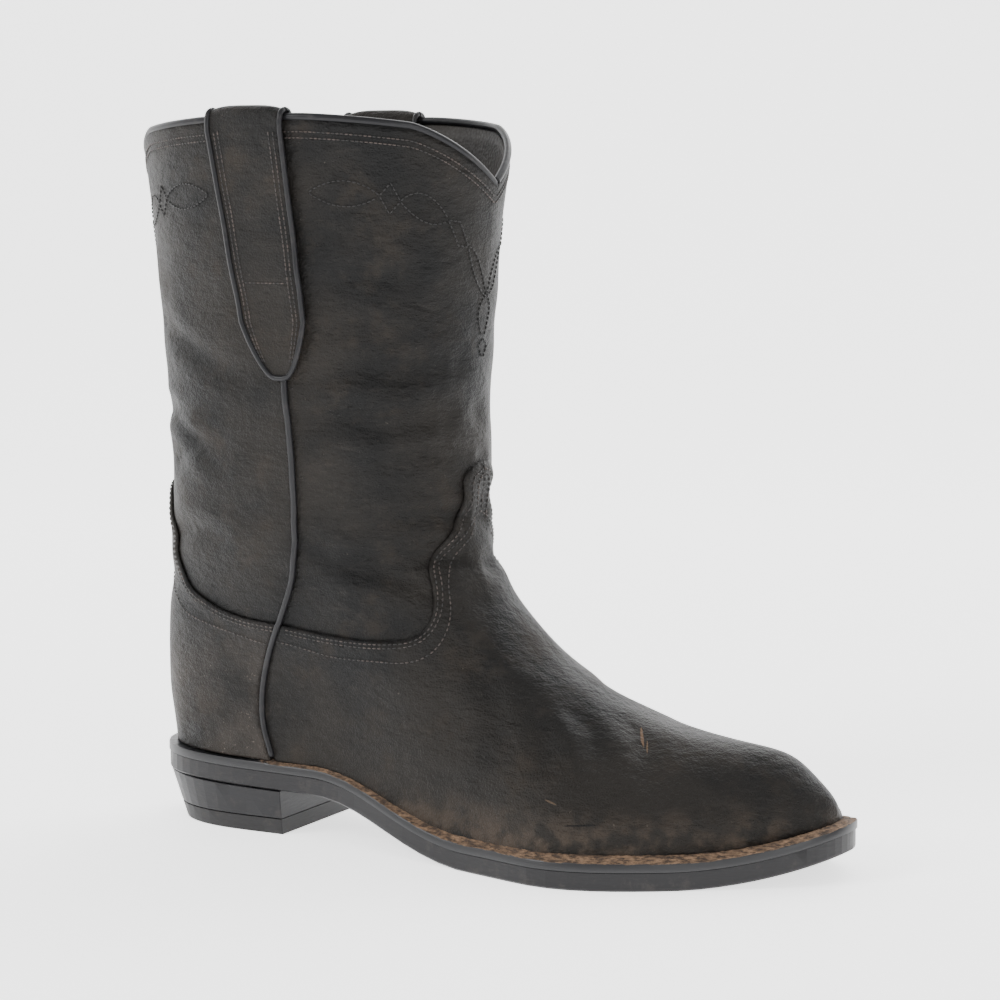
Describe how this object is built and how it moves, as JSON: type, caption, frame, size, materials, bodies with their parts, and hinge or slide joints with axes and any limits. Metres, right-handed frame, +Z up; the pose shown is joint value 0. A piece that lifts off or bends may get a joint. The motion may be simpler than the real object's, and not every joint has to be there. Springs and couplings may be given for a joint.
{
  "type": "roper boot",
  "caption": "Pull-on leather boot with a straight shaft, scalloped collar, pull straps, low heel and a rounded toe, standing empty.",
  "frame": {"origin": "on the floor, under the middle of the heel", "axes": "+X from the heel to the toe, +Y from the outer side to the inner side, +Z up"},
  "size_m": [0.3036, 0.1193, 0.2933],
  "materials": {
    "upper_leather": "worn waxed leather with a fine grain",
    "vamp_leather": "worn waxed leather with a fine grain",
    "counter_leather": "dusty, scuffed leather",
    "strap_leather": "worn waxed leather",
    "piping": "smooth",
    "binding": "smooth",
    "welt_leather": "rough, raw edge",
    "insole_board": "matt",
    "outsole_rubber": "satin",
    "heel_stack": "dressed and waxed edge",
    "top_lift_rubber": "matt"
  },
  "bodies": {
    "root": {"upper": "upper_leather", "vamp": "vamp_leather", "counter": "counter_leather", "side_piping_outer": "piping", "side_piping_inner": "piping", "top_binding": "binding", "pull_strap_outer": "strap_leather", "pull_strap_inner": "strap_leather", "insole": "insole_board", "welt": "welt_leather", "outsole": "outsole_rubber", "heel_stack": "heel_stack", "heel_top_lift": "top_lift_rubber"}
  },
  "joints": []
}
